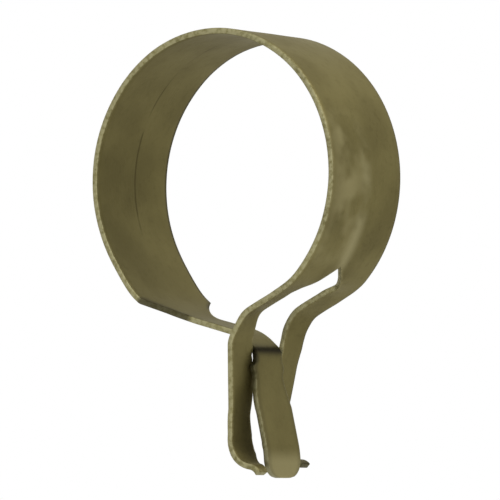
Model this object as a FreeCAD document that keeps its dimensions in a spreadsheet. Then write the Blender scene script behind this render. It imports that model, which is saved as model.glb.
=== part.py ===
"""Curtain ring with clip: one sprung brass strip, rolled into a ring whose two ends cross below it.

The right end is forked by a long slot, and its two prongs curl under to narrow tips as one jaw. The
left end narrows to a tongue that passes through the slot and hangs between those tips as the other.
Millimetres, +Z up, with the rod's axis along Y through the origin.
"""
import FreeCAD
import Part
import Sketcher
import math
import os

from FreeCAD import Placement, Rotation, Vector

DIMENSIONS = {
    # strip
    "strip_thickness": 0.6,
    "band_width": 12.0,
    # ring, as angles from +X about the rod's axis
    "bore_radius": 14.4,
    "shoulder_angle": 234.0,
    "leave_angle": -42.0,
    # forked end, measured on the face that carries on from the bore
    "tuck_radius": 11.8,
    "tuck_turn": 23.0,
    "knee_radius": 4.4,
    "knee_turn": 58.5,
    "prong_offset": 2.1,
    "prong_length": 9.0,
    "curl_radius": 3.0,
    "curl_turn": 86.0,
    "prong_tip_radius": 0.9,
    "prong_tip_turn": 50.0,
    # slot of the fork, which narrows between the prongs, and their outer taper
    # a drop is a level below the bore
    "slot_width": 6.0,
    "slot_centre_angle": -50.0,
    "prong_gap": 2.5,
    "gap_start_drop": 1.9,
    "gap_end_drop": 12.6,
    "prong_taper": 1.1,
    "taper_start_drop": 2.6,
    "taper_end_drop": 9.0,
    # tips of the prongs, cut back on the slot's side so that they pass the jaw; starts and ends are along X
    "tip_cut_start": 1.8,
    "tip_cut_end": 4.9,
    "tip_gap": 7.8,
    # tongue, measured on the face that carries on from the bore
    "tongue_lead": 2.2,
    "tongue_flatten_radius": 7.7,
    "tongue_flatten_turn": 21.0,
    "tongue_drop_radius": 6.3,
    "tongue_drop_turn": 25.0,
    "tongue_ramp": 1.0,
    "tongue_bend_radius": 1.2,
    "tongue_bend_turn": 46.0,
    "tongue_proud": 0.3,
    "tongue_stem": 2.0,
    "jaw_flare_radius": 9.7,
    "jaw_flare_turn": 9.0,
    "jaw_lean_length": 5.6,
    "jaw_end_radius": 10.0,
    "jaw_end_turn": 11.0,
    "jaw_end_length": 1.6,
    # tongue outline
    "shoulder_land": 0.1,
    "neck_width": 4.4,
    "jaw_width": 5.7,
    "flare_start_drop": 6.0,
    "flare_end_drop": 8.8,
    "jaw_corner": 1.9,
    "lug_drop": 4.8,
    "lug_radius": 0.7,
    "lug_height": 0.25,
}

START, END, CENTRE = 1, 2, 3
ORIGIN = -1
LEFT, RIGHT = 1, -1
ALONG_Y = Vector(0, 1, 0)
SIDE_VIEW = Placement(Vector(0, 0, 0), Rotation(Vector(1, 0, 0), 90))
# turns a shape's own x, y and z to the part's Y, Z and X
FRONT_TURN = Rotation(Vector(1, 1, 1), 120)
# turns a shape's own z to the part's X
ALONG_X_TURN = Rotation(ALONG_Y, 90)
# swaps a shape's own x and y for the part's Y and X, and turns its z down
FLAT_TURN = Rotation(Vector(1, 1, 0), 180)

doc = FreeCAD.newDocument("clip_ring")
sheet = doc.addObject("Spreadsheet::Sheet", "sheet")
for row, (alias, number) in enumerate(DIMENSIONS.items(), start=1):
    sheet.set("A%d" % row, alias)
    sheet.set("B%d" % row, str(number))
    sheet.setAlias("B%d" % row, alias)
doc.recompute()


def size(alias):
    """The number that the sheet holds for an alias."""
    return float(sheet.get(alias))


def length(text):
    """An expression in sheet aliases, each marked with @, as a length."""
    return "(%s) * 1 mm" % text.replace("@", "sheet.")


def angle(text):
    """An expression in sheet aliases, each marked with @, as an angle."""
    return "(%s) * 1 deg" % text.replace("@", "sheet.")


def bind(sketch, constraint, name, expression):
    """Adds a named constraint whose value follows the sheet."""
    index = sketch.addConstraint(constraint)
    sketch.renameConstraint(index, name)
    sketch.setExpression("Constraints." + name, expression)


def solid(kind, name, turn=None, **expressions):
    """A primitive whose sizes follow the sheet; base_x, base_y and base_z place it."""
    shape = doc.addObject("Part::" + kind, name)
    if turn is not None:
        shape.Placement = Placement(Vector(0, 0, 0), turn)
    for key, text in expressions.items():
        if key.startswith("base_"):
            shape.setExpression("Placement.Base." + key[-1], length(text))
        else:
            shape.setExpression(key, length(text))
    return shape


def joined(name, *shapes):
    """Several shapes as one."""
    group = doc.addObject("Part::MultiFuse", name)
    group.Shapes = list(shapes)
    return group


def cut(name, base, tool):
    """The base without the tool."""
    result = doc.addObject("Part::Cut", name)
    result.Base = base
    result.Tool = tool
    return result


def mirrored(name, source):
    """The same shape on the other side of the strip's middle."""
    other = doc.addObject("Part::Mirroring", name)
    other.Source = source
    other.Normal = ALONG_Y
    return other


def polar(radius, degrees):
    """A point of the side view, by its distance and angle from the rod's axis."""
    turn = math.radians(degrees)
    return Vector(radius * math.cos(turn), radius * math.sin(turn), 0)


def spoke(sketch, angle_alias, sets_bore):
    """A construction line from the rod's axis to the bore, at an angle that the sheet holds."""
    tip = polar(size("bore_radius"), size(angle_alias))
    line = sketch.addGeometry(Part.LineSegment(Vector(0, 0, 0), tip), True)
    sketch.addConstraint(Sketcher.Constraint("Coincident", line, START, ORIGIN, START))
    if sets_bore:
        reach = Sketcher.Constraint("Distance", line, size("bore_radius"))
        bind(sketch, reach, "bore_radius", length("@bore_radius"))
    lie = Sketcher.Constraint("Angle", line, math.radians(size(angle_alias)))
    bind(sketch, lie, angle_alias, angle("@" + angle_alias))
    return line


def draw_line(sketch, point, heading, reach):
    """A straight run of the strip; gives its index and its end."""
    end = point + polar(reach, math.degrees(heading))
    return sketch.addGeometry(Part.LineSegment(point, end)), end


def draw_bend(sketch, point, heading, side, radius_alias, turn_alias):
    """A bend of the strip to one side, bound to the sheet; gives its index and its end."""
    radius = size(radius_alias)
    turn = math.radians(size(turn_alias))
    centre = point + Vector(-math.sin(heading), math.cos(heading), 0) * radius * side
    first = math.atan2(point.y - centre.y, point.x - centre.x)
    last = first + side * turn
    circle = Part.Circle(centre, Vector(0, 0, 1), radius)
    bend = sketch.addGeometry(Part.ArcOfCircle(circle, min(first, last), max(first, last)))
    bind(sketch, Sketcher.Constraint("Radius", bend, radius), radius_alias, length("@" + radius_alias))
    bind(sketch, Sketcher.Constraint("Angle", bend, turn), turn_alias, angle("@" + turn_alias))
    return bend, centre + polar(radius, math.degrees(last))


def follow(sketch, last, last_end, point, heading, steps):
    """Draws runs and bends on from a point, each tangent to the one before; gives their ends by name."""
    ends = {}
    for name, *bend in steps:
        if bend:
            side = bend[0]
            piece, point = draw_bend(sketch, point, heading, side, name + "_radius", name + "_turn")
            heading += side * math.radians(size(name + "_turn"))
            first, final = (START, END) if side == LEFT else (END, START)
        else:
            reach = size(name) if name in DIMENSIONS else size("tuck_radius") / 2
            piece, point = draw_line(sketch, point, heading, reach)
            first, final = START, END
            if name in DIMENSIONS:
                bind(sketch, Sketcher.Constraint("Distance", piece, reach), name, length("@" + name))
        if last is not None:
            sketch.addConstraint(Sketcher.Constraint("Tangent", last, last_end, piece, first))
        ends[name] = (piece, final)
        last, last_end = piece, final
    return ends


def strip(name, sketch, side):
    """The strip whose one face runs along the sketch, with its thickness laid on one side."""
    section = doc.addObject("Part::Offset2D", name + "_section")
    section.Source = sketch
    section.Mode = "Skin"
    section.Fill = True
    section.setExpression("Value", length("@strip_thickness * %d" % side))
    extrusion = doc.addObject("Part::Extrusion", name)
    extrusion.Base = section
    extrusion.DirMode = "Custom"
    extrusion.Dir = ALONG_Y
    extrusion.Symmetric = True
    extrusion.Solid = True
    extrusion.setExpression("LengthFwd", length("@band_width"))
    return extrusion


# ring and forked end: round the bore, tucked in below it, then down as the prongs
band_path = doc.addObject("Sketcher::SketchObject", "band_path")
band_path.Placement = SIDE_VIEW
shoulder = spoke(band_path, "shoulder_angle", True)
leave = spoke(band_path, "leave_angle", False)
bore_circle = Part.Circle(Vector(0, 0, 0), Vector(0, 0, 1), size("bore_radius"))
ring_span = [math.radians(size("leave_angle")), math.radians(size("shoulder_angle"))]
ring = band_path.addGeometry(Part.ArcOfCircle(bore_circle, ring_span[0], ring_span[1]))
band_path.addConstraint(Sketcher.Constraint("Coincident", ring, CENTRE, ORIGIN, START))
band_path.addConstraint(Sketcher.Constraint("Coincident", ring, START, leave, END))
band_path.addConstraint(Sketcher.Constraint("Coincident", ring, END, shoulder, END))
band_start = polar(size("bore_radius"), size("leave_angle"))
band_heading = math.radians(size("leave_angle") - 90)
band_steps = [("tuck", RIGHT), ("ramp",), ("knee", LEFT), ("prong_length",), ("curl", LEFT),
              ("prong_tip", RIGHT)]
band_ends = follow(band_path, ring, START, band_start, band_heading, band_steps)
bind(band_path, Sketcher.Constraint("DistanceX", *band_ends["knee"], size("prong_offset")),
     "prong_offset", length("@prong_offset"))
band_strip = strip("band_strip", band_path, -1)

# slot that forks the right end: pointed at its top, and narrowing between the prongs
slot_run = solid("Box", "slot_run", Rotation(ALONG_Y, -size("slot_centre_angle")),
                 Length="2 * @bore_radius", Width="@band_width", Height="2 * @bore_radius",
                 base_x="@bore_radius * (cos(@slot_centre_angle * 1 deg) / 2"
                        " + 2 * sin(@slot_centre_angle * 1 deg))",
                 base_y="-@band_width / 2",
                 base_z="@bore_radius * (sin(@slot_centre_angle * 1 deg) / 2"
                        " - 2 * cos(@slot_centre_angle * 1 deg))")
slot_run.setExpression("Placement.Rotation.Angle", angle("@slot_centre_angle * -1"))
slot_upper = solid("Box", "slot_upper", Length="2 * @bore_radius", Width="@slot_width",
                   Height="@bore_radius + @gap_start_drop",
                   base_x="-@bore_radius", base_y="-@slot_width / 2",
                   base_z="-@bore_radius - @gap_start_drop")
slot_wedge = solid("Wedge", "slot_wedge", FRONT_TURN,
                   Ymin="-@bore_radius - @gap_end_drop", Ymax="-@bore_radius - @gap_start_drop",
                   Xmin="-@prong_gap / 2", X2min="-@slot_width / 2",
                   Xmax="@prong_gap / 2", X2max="@slot_width / 2",
                   Zmin="-@bore_radius", Z2min="-@bore_radius", Zmax="@bore_radius", Z2max="@bore_radius")
slot_lower = solid("Box", "slot_lower",
                   Length="2 * @bore_radius", Width="@prong_gap", Height="2 * @bore_radius",
                   base_x="-@bore_radius", base_y="-@prong_gap / 2",
                   base_z="-3 * @bore_radius - @gap_end_drop")
slot_sides = joined("slot_sides", slot_upper, slot_wedge, slot_lower)
slot = doc.addObject("Part::Common", "slot")
slot.Base = slot_run
slot.Tool = slot_sides
slot_point = solid("Prism", "slot_point", Rotation(ALONG_Y, 90 - size("slot_centre_angle")),
                   Circumradius="@slot_width / 2", Height="@bore_radius",
                   base_x="@bore_radius / 2 * cos(@slot_centre_angle * 1 deg)",
                   base_z="@bore_radius / 2 * sin(@slot_centre_angle * 1 deg)")
slot_point.Polygon = 4
slot_point.setExpression("Placement.Rotation.Angle", angle("90 - @slot_centre_angle"))

# taper of the prongs' outer edges
taper_wedge = solid("Wedge", "taper_wedge", FRONT_TURN,
                    Ymin="-@bore_radius - @taper_end_drop", Ymax="-@bore_radius - @taper_start_drop",
                    Xmin="@band_width / 2 - @prong_taper", X2min="@band_width / 2",
                    Xmax="@band_width", X2max="@band_width",
                    Zmin="-@bore_radius", Z2min="-@bore_radius", Zmax="@bore_radius", Z2max="@bore_radius")
taper_side = solid("Box", "taper_side",
                   Length="2 * @bore_radius", Width="@band_width", Height="2 * @bore_radius",
                   base_x="-@bore_radius", base_y="@band_width / 2 - @prong_taper",
                   base_z="-3 * @bore_radius - @taper_end_drop")
taper = joined("taper", taper_wedge, taper_side)
other_taper = mirrored("other_taper", taper)

# slanted cut that leaves the prongs' tips narrow
tip_cut = solid("Wedge", "tip_cut", FLAT_TURN, Ymin="@tip_cut_start", Ymax="@tip_cut_end",
                Xmin="-@prong_gap / 2", Xmax="@prong_gap / 2", X2min="-@tip_gap / 2", X2max="@tip_gap / 2",
                Zmin="@bore_radius + @gap_end_drop", Z2min="@bore_radius + @gap_end_drop",
                Zmax="3 * @bore_radius", Z2max="3 * @bore_radius")
fork = cut("fork", band_strip, joined("fork_cuts", slot, slot_point, taper, other_taper, tip_cut))

# tongue: from the shoulder across to the slot, sharply down through it, then out as the jaw
tongue_path = doc.addObject("Sketcher::SketchObject", "tongue_path")
tongue_path.Placement = SIDE_VIEW
tongue_spoke = spoke(tongue_path, "shoulder_angle", True)
tongue_start = polar(size("bore_radius"), size("shoulder_angle"))
tongue_heading = math.radians(size("shoulder_angle") + 90)
tongue_steps = [("tongue_lead",), ("tongue_flatten", LEFT), ("reach",), ("tongue_drop", RIGHT),
                ("tongue_ramp",), ("tongue_bend", RIGHT), ("tongue_stem",), ("jaw_flare", LEFT),
                ("jaw_lean_length",), ("jaw_end", RIGHT), ("jaw_end_length",)]
tongue_ends = follow(tongue_path, None, None, tongue_start, tongue_heading, tongue_steps)
lead = tongue_ends["tongue_lead"][0]
tongue_path.addConstraint(Sketcher.Constraint("Coincident", lead, START, tongue_spoke, END))
tongue_path.addConstraint(Sketcher.Constraint("Perpendicular", lead, tongue_spoke))
tongue_face = size("prong_offset") + size("strip_thickness") + size("tongue_proud")
bind(tongue_path, Sketcher.Constraint("DistanceX", *tongue_ends["tongue_bend"], tongue_face),
     "tongue_face", length("@prong_offset + @strip_thickness + @tongue_proud"))
tongue_strip = strip("tongue_strip", tongue_path, -1)

# outline of the tongue, one side: hollow shoulder, neck with its lug, flare and jaw
SHOULDER_X = ("@bore_radius * cos(@shoulder_angle * 1 deg) + @shoulder_land"
              " + (@band_width - @neck_width) / 2")
shoulder_round = solid("Cylinder", "shoulder_round", Radius="(@band_width - @neck_width) / 2",
                       Height="@bore_radius", base_x=SHOULDER_X, base_y="@band_width / 2",
                       base_z="-1.5 * @bore_radius")
neck_side = solid("Box", "neck_side", Length="2 * @bore_radius", Width="@band_width",
                  Height="@bore_radius / 2 + @flare_start_drop", base_x=SHOULDER_X,
                  base_y="@neck_width / 2", base_z="-@bore_radius - @flare_start_drop")
flare_wedge = solid("Wedge", "flare_wedge", FRONT_TURN,
                    Ymin="-@bore_radius - @flare_end_drop", Ymax="-@bore_radius - @flare_start_drop",
                    Xmin="@jaw_width / 2", X2min="@neck_width / 2", Xmax="@band_width", X2max="@band_width",
                    Zmin="-@bore_radius", Z2min="-@bore_radius", Zmax="@bore_radius", Z2max="@bore_radius")
jaw_side = solid("Box", "jaw_side",
                 Length="2 * @bore_radius", Width="@band_width", Height="2 * @bore_radius",
                 base_x="-@bore_radius", base_y="@jaw_width / 2",
                 base_z="-3 * @bore_radius - @flare_end_drop")
lug = solid("Cylinder", "lug", ALONG_X_TURN, Radius="@lug_radius", Height="2 * @bore_radius",
            base_x="-@bore_radius", base_y="@neck_width / 2 + @lug_height - @lug_radius",
            base_z="-@bore_radius - @lug_drop")
outline = cut("outline", joined("outline_whole", shoulder_round, neck_side, flare_wedge, jaw_side), lug)
tongue = cut("tongue", tongue_strip, joined("tongue_cuts", outline, mirrored("other_outline", outline)))
doc.recompute()

# rounded lower corners of the jaw
jaw_floor = tongue.Shape.BoundBox.ZMin
corner_edges = []
for number, edge in enumerate(tongue.Shape.Edges, start=1):
    across = max(abs(vertex.Point.y) for vertex in edge.Vertexes)
    crosses = abs(edge.Length - size("strip_thickness")) < size("strip_thickness") / 10
    low = edge.BoundBox.ZMax < jaw_floor + size("strip_thickness")
    upright = edge.BoundBox.YLength < size("strip_thickness") / 10
    outer = abs(across - size("jaw_width") / 2) < size("strip_thickness") / 10
    if crosses and low and upright and outer:
        corner_edges.append((number, size("jaw_corner"), size("jaw_corner")))
rounded_tongue = doc.addObject("Part::Fillet", "rounded_tongue")
rounded_tongue.Base = tongue
rounded_tongue.Edges = corner_edges

# the two ends are one strip
clip_ring = doc.addObject("Part::Fuse", "clip_ring_strip")
clip_ring.Base = fork
clip_ring.Tool = rounded_tongue
clip_ring.Refine = True
clip_ring.Label = "clip_ring"
doc.recompute()

failed = [item.Name for item in doc.Objects if "Invalid" in item.State or "Error" in item.State]
if failed:
    raise RuntimeError("not made: " + ", ".join(failed))
if len(corner_edges) != 2:
    raise RuntimeError("the jaw's corners are not two: %d" % len(corner_edges))
shape = clip_ring.Shape
if shape.isNull() or not shape.isValid() or len(shape.Solids) != 1:
    raise RuntimeError("the strip is not one valid solid")
if not 0 < shape.Volume < fork.Shape.Volume + tongue_strip.Shape.Volume:
    raise RuntimeError("the strip's volume is wrong: %g" % shape.Volume)

os.makedirs("parts", exist_ok=True)
shape.exportStep("parts/clip_ring.step")
print("clip_ring", shape.BoundBox, "volume", round(shape.Volume, 2))
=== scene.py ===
"""Curtain ring with clip: one antique brass strip, cut flat, folded along its path and dressed."""

import logging
import math
from dataclasses import dataclass, field, replace
from enum import Enum

import bpy
from mathutils import Matrix, Vector
from mathutils.kdtree import KDTree


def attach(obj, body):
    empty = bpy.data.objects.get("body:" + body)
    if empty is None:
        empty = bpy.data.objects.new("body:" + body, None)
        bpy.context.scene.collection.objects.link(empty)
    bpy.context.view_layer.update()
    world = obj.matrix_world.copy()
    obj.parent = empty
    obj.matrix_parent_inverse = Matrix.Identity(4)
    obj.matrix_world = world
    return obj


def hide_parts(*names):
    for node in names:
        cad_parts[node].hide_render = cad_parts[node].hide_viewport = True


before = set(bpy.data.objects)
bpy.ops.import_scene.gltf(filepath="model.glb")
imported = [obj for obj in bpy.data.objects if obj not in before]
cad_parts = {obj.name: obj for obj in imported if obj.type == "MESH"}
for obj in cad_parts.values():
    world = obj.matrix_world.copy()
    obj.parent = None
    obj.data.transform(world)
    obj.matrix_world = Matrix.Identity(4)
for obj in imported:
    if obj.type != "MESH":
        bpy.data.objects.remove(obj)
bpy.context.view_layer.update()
LOG = logging.getLogger("clip_ring")
MM = 0.001
STRIP_UV = "strip"
UV_PER_METRE = 10.0

Tree = bpy.types.NodeTree
Node = bpy.types.Node
Socket = bpy.types.NodeSocket
Colour = tuple[float, float, float, float]
Point = tuple[float, float]
Shift = tuple[float, float, float]
Span = tuple[float, float]
Feed = Socket | float | Colour | Shift


class Side(Enum):
    """The side to which the strip turns in a bend, as its sign."""

    LEFT = 1
    RIGHT = -1


class Half(Enum):
    """The two halves of the strip, as the sign of their y."""

    FAR = 1
    NEAR = -1


@dataclass(frozen=True)
class Run:
    """A straight stretch of the strip, in millimetres."""

    length: float

    def reach(self) -> float:
        """Its length along the strip."""
        return self.length


@dataclass(frozen=True)
class Bend:
    """A bend of the strip: its radius in millimetres and its turn in degrees."""

    radius: float
    turn: float
    side: Side

    def reach(self) -> float:
        """Its length along the strip."""
        return self.radius * math.radians(self.turn)


Step = Run | Bend


def srgb(red: float, green: float, blue: float) -> Colour:
    """Turns a colour as seen on a screen into the values that shaders take.

    Args:
        red: Red from 0 to 255.
        green: Green from 0 to 255.
        blue: Blue from 0 to 255.

    Returns:
        The linear colour with full alpha.
    """
    def linear(value: float) -> float:
        """One channel, from 0 to 1."""
        part = value / 255.0
        return part / 12.92 if part <= 0.04045 else ((part + 0.055) / 1.055) ** 2.4

    return (linear(red), linear(green), linear(blue), 1.0)


def clamp(value: float) -> float:
    """The value, kept between 0 and 1."""
    return min(1.0, max(0.0, value))


def smooth(value: float, low: float, high: float) -> float:
    """A smooth step from 0 at low to 1 at high.

    Args:
        value: The place to read.
        low: Where the step starts.
        high: Where the step ends.

    Returns:
        The height of the step there.
    """
    part = clamp((value - low) / (high - low))
    return part * part * (3.0 - 2.0 * part)


def window(value: float, rise: Span, fade: Span) -> float:
    """A smooth step up to 1, and down to 0 again.

    Args:
        value: The place to read.
        rise: Where the step up starts and ends.
        fade: Where the step down starts and ends.

    Returns:
        The height there.
    """
    return smooth(value, *rise) * (1.0 - smooth(value, *fade))


def bell(offset: float, reach: float) -> float:
    """A bell curve that is 1 at no offset and about a third at its reach."""
    return math.exp(-(offset / reach) ** 2)


def feed(tree: Tree, socket: Socket, value: Feed) -> None:
    """Gives an input a plain value, or links it to the output that makes its value.

    Args:
        tree: The tree that holds both.
        socket: The input.
        value: The plain value or the output.
    """
    if isinstance(value, Socket):
        tree.links.new(value, socket)
    else:
        socket.default_value = value


def add_node(tree: Tree, kind: str, feeds: dict[str | int, Feed], **options: str | bool) -> Node:
    """Adds a node, sets its options and feeds its inputs.

    Args:
        tree: The tree to add to.
        kind: The node's type.
        feeds: What goes into its inputs, by their names or numbers.
        options: The node's own settings.

    Returns:
        The node.
    """
    node = tree.nodes.new(kind)
    for name, value in options.items():
        setattr(node, name, value)
    for key, value in feeds.items():
        feed(tree, node.inputs[key], value)
    return node


def calculate(tree: Tree, operation: str, *values: Feed, use_clamp: bool = False) -> Socket:
    """Adds a calculation with numbers.

    Args:
        tree: The tree to add to.
        operation: Its name.
        values: The numbers.
        use_clamp: Whether the result is kept between 0 and 1.

    Returns:
        The result.
    """
    feeds = dict(enumerate(values))
    node = add_node(tree, "ShaderNodeMath", feeds, operation=operation, use_clamp=use_clamp)
    return node.outputs["Value"]


def combine(tree: Tree, operation: str, *vectors: Feed) -> Socket:
    """Adds a calculation with vectors.

    Args:
        tree: The tree to add to.
        operation: Its name.
        vectors: The vectors.

    Returns:
        The result.
    """
    node = add_node(tree, "ShaderNodeVectorMath", dict(enumerate(vectors)), operation=operation)
    return node.outputs["Vector"]


def stretch(tree: Tree, vector: Feed, factor: Feed) -> Socket:
    """Makes a vector longer or shorter.

    Args:
        tree: The tree to add to.
        vector: The vector.
        factor: How many times as long it gets.

    Returns:
        The new vector.
    """
    feeds = {"Vector": vector, "Scale": factor}
    return add_node(tree, "ShaderNodeVectorMath", feeds, operation="SCALE").outputs["Vector"]


def ease(tree: Tree, value: Feed, low: Feed, high: Feed, falls: bool = False) -> Socket:
    """Adds a smooth step between two values.

    Args:
        tree: The tree to add to.
        value: What is read.
        low: Where the step starts.
        high: Where the step ends.
        falls: Whether it goes from 1 to 0, and not from 0 to 1.

    Returns:
        The height of the step.
    """
    feeds = {"Value": value, "From Min": low, "From Max": high,
             "To Min": float(falls), "To Max": float(not falls)}
    node = add_node(tree, "ShaderNodeMapRange", feeds, interpolation_type="SMOOTHSTEP")
    return node.outputs["Result"]


def new_group(kind: str, name: str, ins: dict[str, str],
              outs: dict[str, str]) -> tuple[Tree, Node, Node]:
    """Starts a node group with its sockets.

    Args:
        kind: The type of tree.
        name: Name of the group.
        ins: Names and types of its inputs.
        outs: Names and types of its outputs.

    Returns:
        The group, its input node and its output node.
    """
    group = bpy.data.node_groups.new(name, kind)
    for way, sockets in (("INPUT", ins), ("OUTPUT", outs)):
        for label, socket in sockets.items():
            group.interface.new_socket(label, in_out=way, socket_type="NodeSocket" + socket)
    return group, group.nodes.new("NodeGroupInput"), group.nodes.new("NodeGroupOutput")


@dataclass
class StripSizes:
    """Sizes of the strip in millimetres and degrees, the same as in the part's source."""

    thickness: float = 0.6
    band_width: float = 12.0
    bore_radius: float = 14.4
    shoulder_angle: float = 234.0
    leave_angle: float = -42.0
    tuck: Bend = Bend(11.8, 23.0, Side.RIGHT)
    knee: Bend = Bend(4.4, 58.5, Side.LEFT)
    prong_offset: float = 2.1
    prong: Run = Run(9.0)
    curl: Bend = Bend(3.0, 86.0, Side.LEFT)
    prong_tip: Bend = Bend(0.9, 50.0, Side.RIGHT)
    slot_width: float = 6.0
    slot_centre_angle: float = -50.0
    prong_gap: float = 2.5
    gap_start_drop: float = 1.9
    gap_end_drop: float = 12.6
    prong_taper: float = 1.1
    taper_start_drop: float = 2.6
    taper_end_drop: float = 9.0
    tip_cut_start: float = 1.8
    tip_cut_end: float = 4.9
    tip_gap: float = 7.8
    tongue_before: tuple[Step, ...] = (Run(2.2), Bend(7.7, 21.0, Side.LEFT))
    tongue_after: tuple[Step, ...] = (
        Bend(6.3, 25.0, Side.RIGHT),
        Run(1.0),
        Bend(1.2, 46.0, Side.RIGHT),
    )
    tongue_proud: float = 0.3
    jaw: tuple[Step, ...] = (
        Run(2.0),
        Bend(9.7, 9.0, Side.LEFT),
        Run(5.6),
        Bend(10.0, 11.0, Side.RIGHT),
        Run(1.6),
    )
    shoulder_land: float = 0.1
    neck_width: float = 4.4
    jaw_width: float = 5.7
    flare_start_drop: float = 6.0
    flare_end_drop: float = 8.8
    jaw_corner: float = 1.9
    lug_drop: float = 4.8
    lug_radius: float = 0.7
    lug_height: float = 0.25

    def level(self, drop: float) -> float:
        """The height of a drop below the bore."""
        return -self.bore_radius - drop


@dataclass
class Walker:
    """A point that goes along the strip and leaves a trail.

    Attributes:
        x: Its place to the right of the ring's axis, in millimetres.
        z: Its height above the axis, in millimetres.
        heading: The way it goes, in radians.
        trail: The points it has left.
        widest_turn: The most degrees that it turns in one step.
    """

    x: float
    z: float
    heading: float
    trail: list[Point] = field(default_factory=list)
    widest_turn: float = 4.0

    def go(self, steps: tuple[Step, ...], pitch: float) -> "Walker":
        """Takes the steps in turn.

        Args:
            steps: Runs and bends.
            pitch: Distance between points of the trail.

        Returns:
            The walker itself.
        """
        for step in steps:
            if isinstance(step, Run):
                self._run(step.length, pitch)
            else:
                self._bend(step, pitch)
        return self

    def _run(self, length: float, pitch: float) -> None:
        """Goes straight ahead.

        Args:
            length: How far.
            pitch: Distance between points of the trail.
        """
        count = max(1, math.ceil(abs(length) / pitch))
        for _ in range(count):
            self.x += length / count * math.cos(self.heading)
            self.z += length / count * math.sin(self.heading)
            self.trail.append((self.x, self.z))

    def _bend(self, bend: Bend, pitch: float) -> None:
        """Goes round a bend.

        Args:
            bend: The bend.
            pitch: Distance between points of the trail.
        """
        turn = math.radians(bend.turn)
        count = max(2, math.ceil(max(bend.radius * turn / pitch, bend.turn / self.widest_turn)))
        sign = bend.side.value
        centre_x = self.x - math.sin(self.heading) * bend.radius * sign
        centre_z = self.z + math.cos(self.heading) * bend.radius * sign
        for _ in range(count):
            self.heading += sign * turn / count
            self.x = centre_x + math.sin(self.heading) * bend.radius * sign
            self.z = centre_z - math.cos(self.heading) * bend.radius * sign
            self.trail.append((self.x, self.z))


@dataclass
class FoldPath:
    """The line of the strip's inner face, from the jaw's tip round the ring to the prongs' tips.

    Attributes:
        sizes: Sizes of the strip.
        fine: Distance between points on the tongue and the fork, in millimetres.
        coarse: Distance between points on the ring, in millimetres.
        points: The points, as x and z in millimetres.
        lengths: Their distances from the jaw's tip.
        shoulder_at: Distance of the shoulder, where the ring begins.
        leave_at: Distance of the place where the fork leaves the ring.
    """

    sizes: StripSizes
    fine: float = 0.16
    coarse: float = 0.4
    points: list[Point] = field(default_factory=list)
    lengths: list[float] = field(default_factory=list)
    shoulder_at: float = 0.0
    leave_at: float = 0.0

    def _bore_point(self, degrees: float) -> Point:
        """A point on the bore."""
        turn = math.radians(degrees)
        return self.sizes.bore_radius * math.cos(turn), self.sizes.bore_radius * math.sin(turn)

    def _reach(self, start: Walker, before: tuple[Step, ...], after: tuple[Step, ...],
               goal: float) -> Run:
        """The run between two sets of steps that brings their end to a given x.

        Args:
            start: Where the steps begin.
            before: Steps ahead of the run.
            after: Steps behind it.
            goal: The x at which the steps end.

        Returns:
            The run.
        """
        lead = Walker(start.x, start.z, start.heading).go(before, self.fine)
        heading = lead.heading
        end = lead.go(after, self.fine)
        return Run((goal - end.x) / math.cos(heading))

    def _tongue(self) -> list[Point]:
        """The trail from the shoulder to the jaw's tip.

        Returns:
            Its points.
        """
        sizes = self.sizes
        x, z = self._bore_point(sizes.shoulder_angle)
        walker = Walker(x, z, math.radians(sizes.shoulder_angle + 90.0))
        goal = sizes.prong_offset + sizes.thickness + sizes.tongue_proud
        reach = self._reach(walker, sizes.tongue_before, sizes.tongue_after, goal)
        walker.go(sizes.tongue_before + (reach,) + sizes.tongue_after + sizes.jaw, self.fine)
        return walker.trail

    def _fork(self) -> list[Point]:
        """The trail from the ring's right to the prongs' tips.

        Returns:
            Its points.
        """
        sizes = self.sizes
        x, z = self._bore_point(sizes.leave_angle)
        walker = Walker(x, z, math.radians(sizes.leave_angle - 90.0))
        ramp = self._reach(walker, (sizes.tuck,), (sizes.knee,), sizes.prong_offset)
        steps = (sizes.tuck, ramp, sizes.knee, sizes.prong, sizes.curl, sizes.prong_tip)
        return walker.go(steps, self.fine).trail

    def lay(self) -> "FoldPath":
        """Works out the points and their distances along the strip.

        Returns:
            The path itself.
        """
        sizes = self.sizes
        tongue = self._tongue()
        span = sizes.shoulder_angle - sizes.leave_angle
        count = math.ceil(math.radians(span) * sizes.bore_radius / self.coarse)
        ring = [self._bore_point(sizes.shoulder_angle - span * i / count) for i in range(count + 1)]
        self.points = tongue[::-1] + ring + self._fork()
        self.lengths = [0.0]
        for before, after in zip(self.points, self.points[1:]):
            self.lengths.append(self.lengths[-1] + math.dist(before, after))
        self.shoulder_at = self.lengths[len(tongue)]
        self.leave_at = self.lengths[len(tongue) + count]
        return self

    def at(self, along: float) -> Point:
        """The point at a distance along the strip.

        Args:
            along: Distance from the jaw's tip.

        Returns:
            Its x and z.
        """
        last = len(self.points) - 1
        index = next((i for i in range(1, last) if self.lengths[i] >= along), last)
        (x, z), (next_x, next_z) = self.points[index - 1:index + 1]
        gap = self.lengths[index] - self.lengths[index - 1]
        part = min(1.0, (along - self.lengths[index - 1]) / gap)
        return x + (next_x - x) * part, z + (next_z - z) * part

    def as_curve(self, name: str) -> bpy.types.Object:
        """The path as a curve in metres.

        Args:
            name: Name of the curve.

        Returns:
            The curve's object.
        """
        curve = bpy.data.curves.new(name, "CURVE")
        curve.dimensions = "3D"
        spline = curve.splines.new("POLY")
        spline.points.add(len(self.points) - 1)
        for point, (x, z) in zip(spline.points, self.points):
            point.co = (x * MM, 0.0, z * MM, 1.0)
        obj = bpy.data.objects.new(name, curve)
        bpy.context.scene.collection.objects.link(obj)
        return obj


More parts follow.
